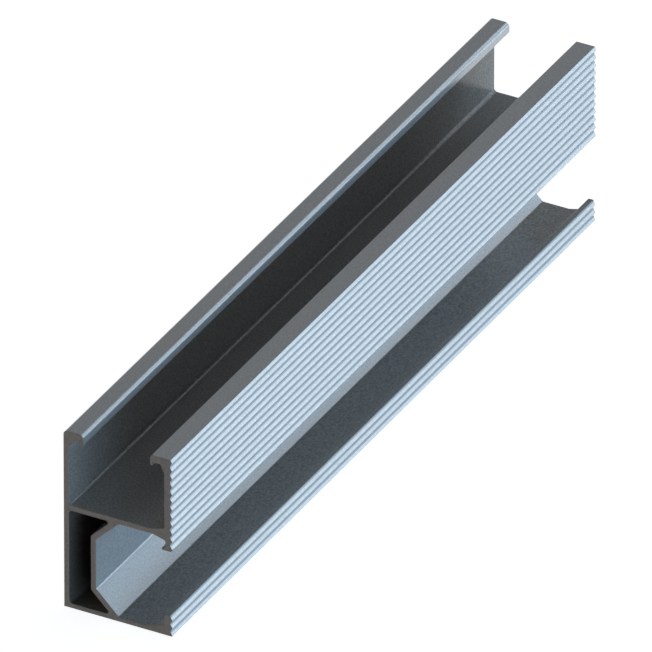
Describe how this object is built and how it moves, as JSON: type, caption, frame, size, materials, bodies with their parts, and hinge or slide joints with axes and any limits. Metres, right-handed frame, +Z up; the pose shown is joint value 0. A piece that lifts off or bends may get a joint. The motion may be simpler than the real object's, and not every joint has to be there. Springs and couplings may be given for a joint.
{
  "type": "solar mounting rail",
  "caption": "Extruded aluminium rail with an open slot on top for panel clamps, an open slot at the side for roof brackets, a closed chamber along the back and a serrated front face.",
  "frame": {"origin": "middle of the base's underside, on the surface that the rail stands on", "axes": "+Y along the rail, +X towards the serrated front face, +Z up from the base to the top slot"},
  "size_m": [0.036, 0.265, 0.0605],
  "materials": {
    "anodised_aluminium": "satin natural anodised extrusion with sawn ends"
  },
  "bodies": {
    "root": {"rail": "anodised_aluminium"}
  },
  "joints": []
}
